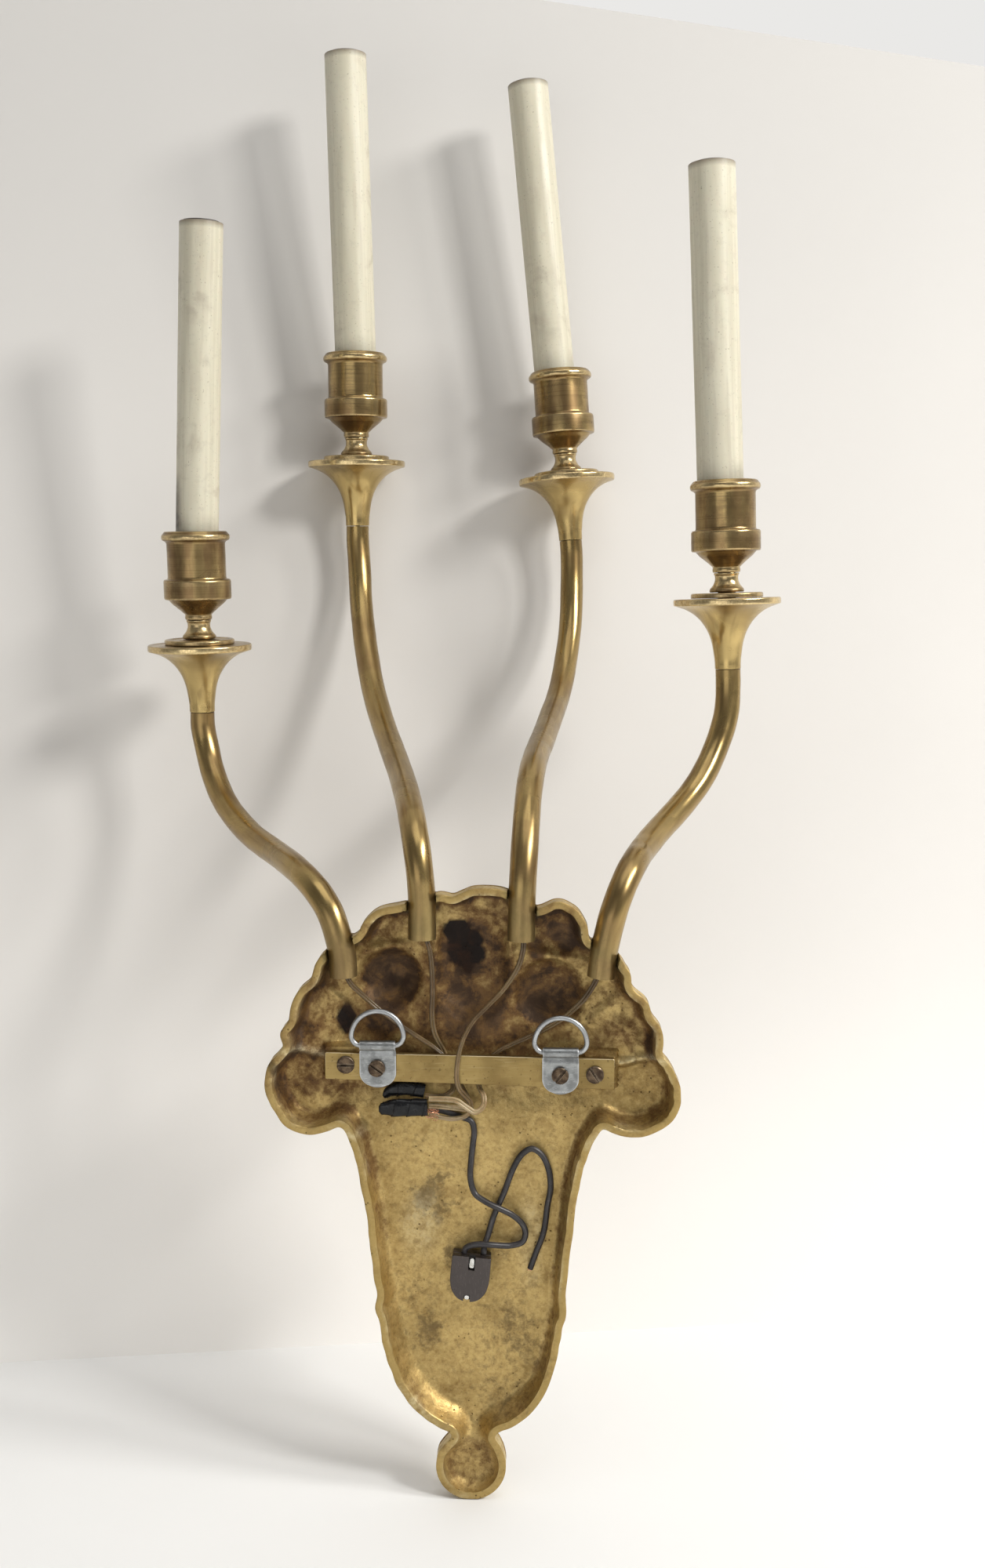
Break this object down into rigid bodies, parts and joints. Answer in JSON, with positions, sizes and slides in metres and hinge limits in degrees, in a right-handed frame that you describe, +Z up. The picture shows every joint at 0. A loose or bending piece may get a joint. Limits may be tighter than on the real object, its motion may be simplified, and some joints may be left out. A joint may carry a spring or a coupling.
{
  "type": "wall sconce",
  "caption": "Cast brass wall sconce with a shell-shaped hollow backplate, curved tube arms, turned drip discs and cups, and tall ivory candle sleeves over lampholders.",
  "frame": {"origin": "the point on the wall plane midway between the tops of the two hanging rings, which the sconce hangs by", "axes": "+Z up, +Y into the wall and -Y out into the room, +X to the right of someone in the room facing the sconce; the wall is the plane y = 0"},
  "size_m": [0.3656, 0.2662, 0.8007],
  "materials": {
    "cast_brass": "cast and hand finished, golden brown patina",
    "tube_brass": "drawn tube, lightly patinated",
    "turned_brass": "turned and polished, brown patina",
    "bar_brass": "flat bar, lightly scratched",
    "candle_sleeve": "ivory with grubby patina",
    "lampholder": "moulded",
    "threaded_rod": "dull",
    "clear_flex": "aged clear insulation",
    "zinc_plate": "zinc plated, dulled",
    "dark_screw": "dark tarnish",
    "bright_screw": "nickel plated",
    "cord_rubber": "black sheath",
    "tape": "glossy tape",
    "connector_plastic": "dark moulded"
  },
  "bodies": {
    "root": {"backplate": "cast_brass", "arm_1_tube": "tube_brass", "arm_1_trumpet": "turned_brass", "arm_1_step_disc": "turned_brass", "arm_1_neck": "turned_brass", "arm_1_cup": "turned_brass", "arm_1_lampholder": "lampholder", "arm_1_candle_rod": "threaded_rod", "arm_1_inner_wire": "clear_flex", "arm_1_lead": "clear_flex", "arm_2_tube": "tube_brass", "arm_2_trumpet": "turned_brass", "arm_2_step_disc": "turned_brass", "arm_2_neck": "turned_brass", "arm_2_cup": "turned_brass", "arm_2_lampholder": "lampholder", "arm_2_candle_rod": "threaded_rod", "arm_2_inner_wire": "clear_flex", "arm_2_lead": "clear_flex", "arm_3_tube": "tube_brass", "arm_3_trumpet": "turned_brass", "arm_3_step_disc": "turned_brass", "arm_3_neck": "turned_brass", "arm_3_cup": "turned_brass", "arm_3_lampholder": "lampholder", "arm_3_candle_rod": "threaded_rod", "arm_3_inner_wire": "clear_flex", "arm_3_lead": "clear_flex", "arm_4_tube": "tube_brass", "arm_4_trumpet": "turned_brass", "arm_4_step_disc": "turned_brass", "arm_4_neck": "turned_brass", "arm_4_cup": "turned_brass", "arm_4_lampholder": "lampholder", "arm_4_candle_rod": "threaded_rod", "arm_4_inner_wire": "clear_flex", "arm_4_lead": "clear_flex", "hanging_strap": "bar_brass", "strap_screw_1": "dark_screw", "strap_screw_2": "dark_screw", "hanger_plate_1": "zinc_plate", "hanger_plate_2": "zinc_plate", "hanger_screw_1": "dark_screw", "hanger_screw_2": "dark_screw", "supply_cord_a": "cord_rubber", "supply_cord_b": "cord_rubber", "taped_splice_1": "tape", "taped_splice_2": "tape", "connector_cover": "connector_plastic", "connector_base": "connector_plastic", "connector_screw_1": "bright_screw", "connector_screw_2": "bright_screw"},
    "candle_sleeve_1": {"arm_1_sleeve": "candle_sleeve"},
    "candle_sleeve_2": {"arm_2_sleeve": "candle_sleeve"},
    "candle_sleeve_3": {"arm_3_sleeve": "candle_sleeve"},
    "candle_sleeve_4": {"arm_4_sleeve": "candle_sleeve"},
    "ring_1": {"hanging_ring_1": "zinc_plate"},
    "ring_2": {"hanging_ring_2": "zinc_plate"}
  },
  "joints": [
    {"name": "sleeve_1_lift", "type": "slide", "parent": "root", "child": "candle_sleeve_1", "axis": [-0.0427, 0.0453, 0.9981], "range_m": [0, 0.209]},
    {"name": "sleeve_2_lift", "type": "slide", "parent": "root", "child": "candle_sleeve_2", "axis": [0.0236, 0.0262, 0.9994], "range_m": [0, 0.213]},
    {"name": "sleeve_3_lift", "type": "slide", "parent": "root", "child": "candle_sleeve_3", "axis": [0.0979, -0.0261, 0.9949], "range_m": [0, 0.211]},
    {"name": "sleeve_4_lift", "type": "slide", "parent": "root", "child": "candle_sleeve_4", "axis": [0.0428, 0, 0.9991], "range_m": [0, 0.208]},
    {"name": "ring_1_swing", "type": "hinge", "parent": "root", "child": "ring_1", "pos_m": [0.0485, -0.0036, -0.0185], "axis": [-1, 0, 0], "range_deg": [-10, 150]},
    {"name": "ring_2_swing", "type": "hinge", "parent": "root", "child": "ring_2", "pos_m": [-0.0457, -0.0036, -0.0215], "axis": [-1, 0, 0], "range_deg": [-10, 150]}
  ]
}
